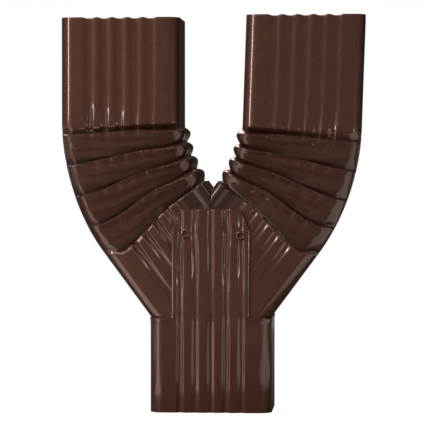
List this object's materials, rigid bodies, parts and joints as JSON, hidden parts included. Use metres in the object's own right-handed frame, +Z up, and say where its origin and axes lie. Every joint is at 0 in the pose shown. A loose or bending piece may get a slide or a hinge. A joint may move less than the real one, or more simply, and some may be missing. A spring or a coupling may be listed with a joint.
{
  "type": "downpipe branch",
  "caption": "Y-shaped downpipe branch: two crimped rectangular elbows are riveted into one ribbed rectangular outlet tube.",
  "frame": {"origin": "middle of the outlet tube's lower end", "axes": "+Z up along the outlet tube, towards the inlets; +X to the right and -Y to the front, with the picture's front face towards -Y"},
  "size_m": [0.2114, 0.064, 0.2755],
  "materials": {
    "brown_paint": "satin",
    "rivet_paint": "satin"
  },
  "bodies": {
    "root": {"left_elbow": "brown_paint", "right_elbow": "brown_paint", "outlet_tube": "brown_paint", "front_left_rivet": "rivet_paint", "front_right_rivet": "rivet_paint", "back_left_rivet": "rivet_paint", "back_right_rivet": "rivet_paint"}
  },
  "joints": []
}
